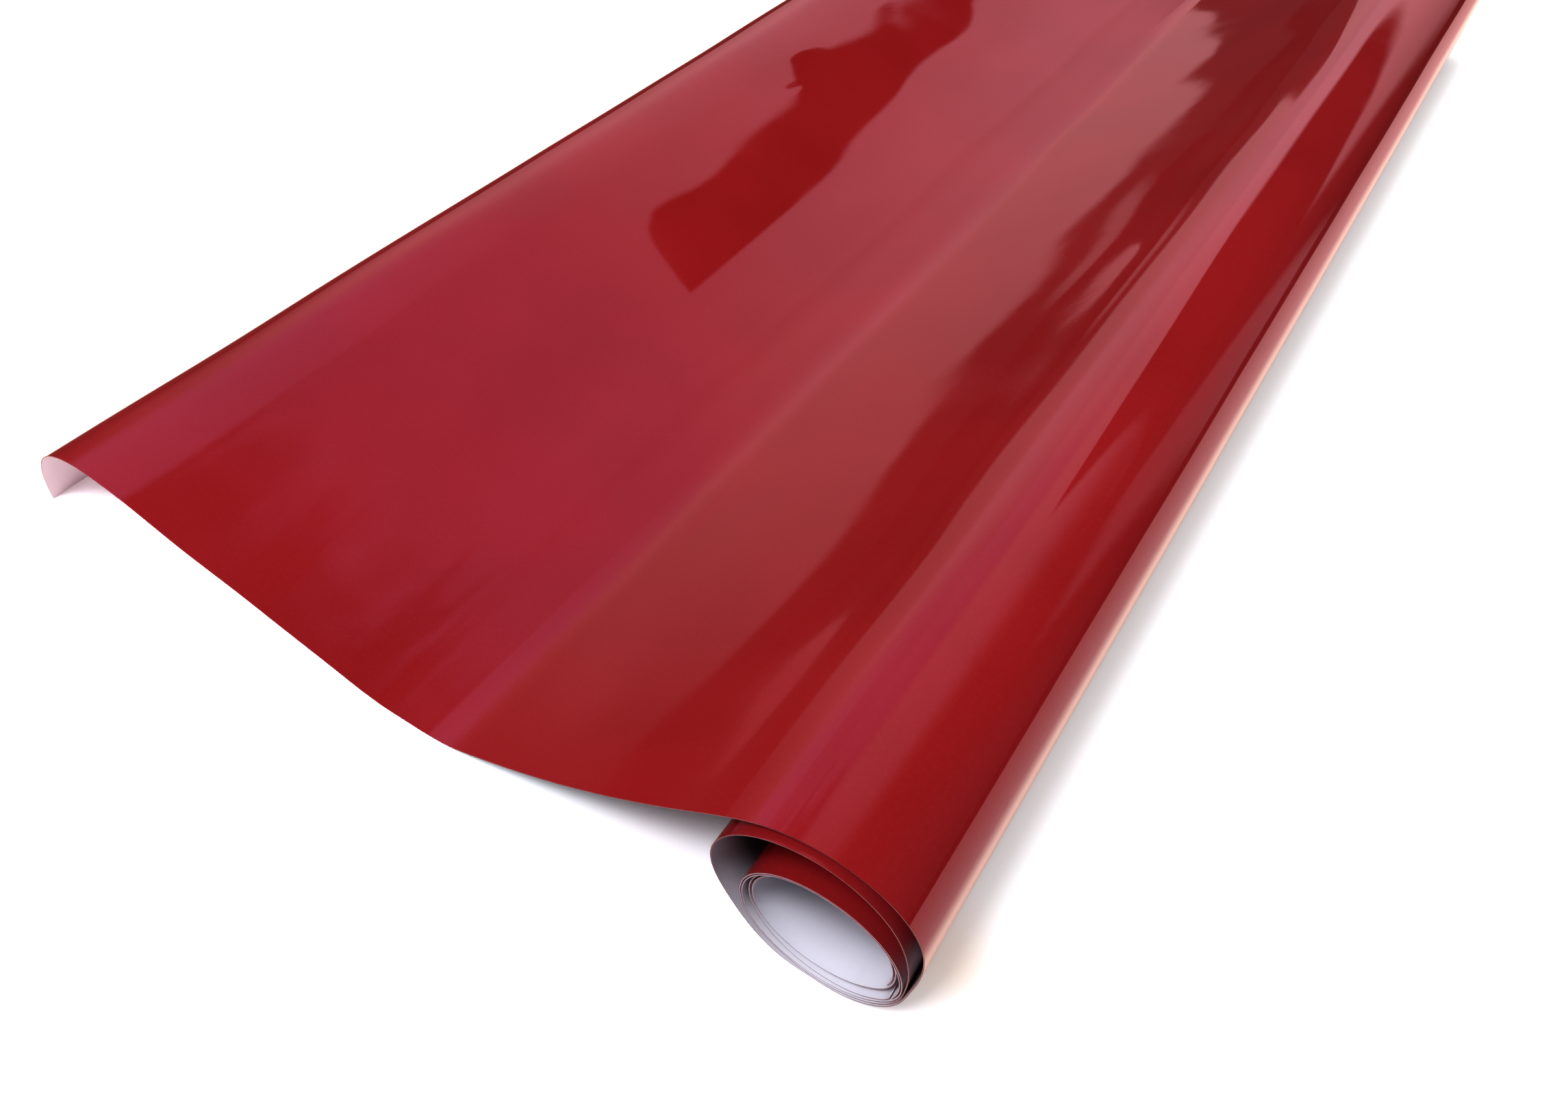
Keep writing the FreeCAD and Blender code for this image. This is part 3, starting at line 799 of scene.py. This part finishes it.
def reflector():
    """A soft-edged overhead reflector with a slot in it, which only the gloss picks up."""
    mesh = bpy.data.meshes.new("reflector")
    x0, x1, y0, y1, z = -0.70, -0.08, -0.34, 1.25, 0.20
    mesh.from_pydata([(x0, y0, z), (x1, y0, z), (x1, y1, z), (x0, y1, z)], [], [(0, 1, 2, 3)])
    obj = bpy.data.objects.new("reflector", mesh)
    bpy.context.scene.collection.objects.link(obj)
    m = bpy.data.materials.new("reflector")
    m.use_nodes = True
    m.node_tree.nodes.clear()
    g = Graph(m.node_tree)
    coord = g.t.nodes.new("ShaderNodeTexCoord").outputs["Object"]
    x, y, _ = g.xyz(coord)
    x, y = g.mul(x, 1000.0), g.mul(y, 1000.0)
    near = g.curve(y, [
        (68, -203), (73, -226), (80, -252), (91, -263), (114, -273), (172, -277), (221, -276), (280, -278),
        (293, -284), (303, -298), (314, -303), (330, -296), (355, -286), (409, -286), (446, -276),
        (500, -266), (560, -262),
    ])
    far = g.curve(y, [
        (68, -203), (102, -206.6), (131, -207), (164, -209), (232, -221), (293, -226), (342, -233),
        (413, -238), (472, -247), (528, -249), (548, -254), (560, -262),
    ])
    slot = g.mul(g.ramp(g.sub(x, near), -2.5, 2.5), g.ramp(g.sub(far, x), -2.0, 2.0))
    slot = g.mul(slot, g.mul(g.ramp(y, 67.0, 71.0), g.ramp(y, 560.0, 555.0)))
    # the slot is louvred: it only shows to the half of the leaf it leans towards
    geo = g.t.nodes.new("ShaderNodeNewGeometry")
    ix, iy, iz = g.xyz(geo.outputs["Incoming"])
    source = g.add(x, g.mul(g.m("DIVIDE", ix, g.m("MINIMUM", iz, -0.02)), -210.0))
    slot = g.mul(slot, g.ramp(source, LOUVRE - 2.5, LOUVRE - 4.5, 0.0, 1.0))
    cover = g.mul(g.ramp(x, -690.0, -420.0), g.ramp(x, -92.0, -122.0))
    cover = g.mul(cover, g.mul(g.ramp(y, -330.0, -300.0), g.ramp(y, 1240.0, 760.0)))
    ragged = g.mul(g.sub(g.noise(g.vec(g.mul(x, 1.6), y, 0.0), 0.016, 2.0, 0.55), 0.5), 120.0)
    level = g.curve(g.add(y, g.mul(ragged, g.ramp(y, 0.0, -150.0))), [
        (-340, 0.03), (-250, 0.05), (-215, 0.11), (-190, 0.25), (-160, 0.40), (-100, 0.47), (-50, 0.52), (0, 0.57),
        (60, 0.63), (120, 0.72), (200, 0.80), (400, 0.84), (700, 0.72), (1250, 0.50),
    ])
    level = g.m("MAXIMUM", level, g.ramp(g.add(x, g.mul(ragged, 0.12)), -294.0, -324.0, 0.0, 0.60))
    level = g.mul(level, g.ramp(x, -232.0, -190.0, 1.0, 1.20))
    level = g.mul(level, g.sub(1.0, slot))
    glow = g.t.nodes.new("ShaderNodeEmission")
    hue = g.color(g.ramp(y, -120.0, 160.0), (1.18, 0.52, 0.98, 1), (1.27, 0.62, 0.74, 1))
    g.put(glow.inputs["Color"], hue)
    g.put(glow.inputs["Strength"], level)
    clear = g.t.nodes.new("ShaderNodeBsdfTransparent")
    mix = g.t.nodes.new("ShaderNodeMixShader")
    g.put(mix.inputs[0], cover)
    g.t.links.new(clear.outputs[0], mix.inputs[1])
    g.t.links.new(glow.outputs[0], mix.inputs[2])
    out = g.t.nodes.new("ShaderNodeOutputMaterial")
    g.t.links.new(mix.outputs[0], out.inputs["Surface"])
    mesh.materials.append(m)
    obj.visible_camera = obj.visible_diffuse = obj.visible_shadow = obj.visible_transmission = False


floor()
world()
reflector()
area("key", (0.45, 0.95, 1.9), (-0.1, 0.0, 0.0), (1.6, 1.2), 17.0, (1.0, 0.97, 0.94))
area("front", (-0.22, -0.90, 1.45), (0.0, -0.28, 0.0), (0.5, 0.4), 21.0, (0.90, 0.91, 1.0))

cam_data = bpy.data.cameras.new("camera")
cam_data.sensor_width, cam_data.lens = 36.0, 25.94
cam_data.clip_start = 0.01
cam = bpy.data.objects.new("camera", cam_data)
right = Vector((0.8393, 0.5436, 0.0))
down = Vector((0.3983, -0.6151, -0.6804))
ahead = Vector((-0.3699, 0.5711, -0.7328))
turn = Matrix((right, -down, -ahead)).transposed()
cam.rotation_mode = "QUATERNION"
cam.rotation_quaternion = turn.to_quaternion()
cam.location = (0.05198, -0.399, 0.23895)
bpy.context.scene.collection.objects.link(cam)
bpy.context.scene.camera = cam
bpy.context.scene.view_settings.view_transform = "Standard"

print("faces", sum(len(o.data.polygons) for o in PIECES.values()))
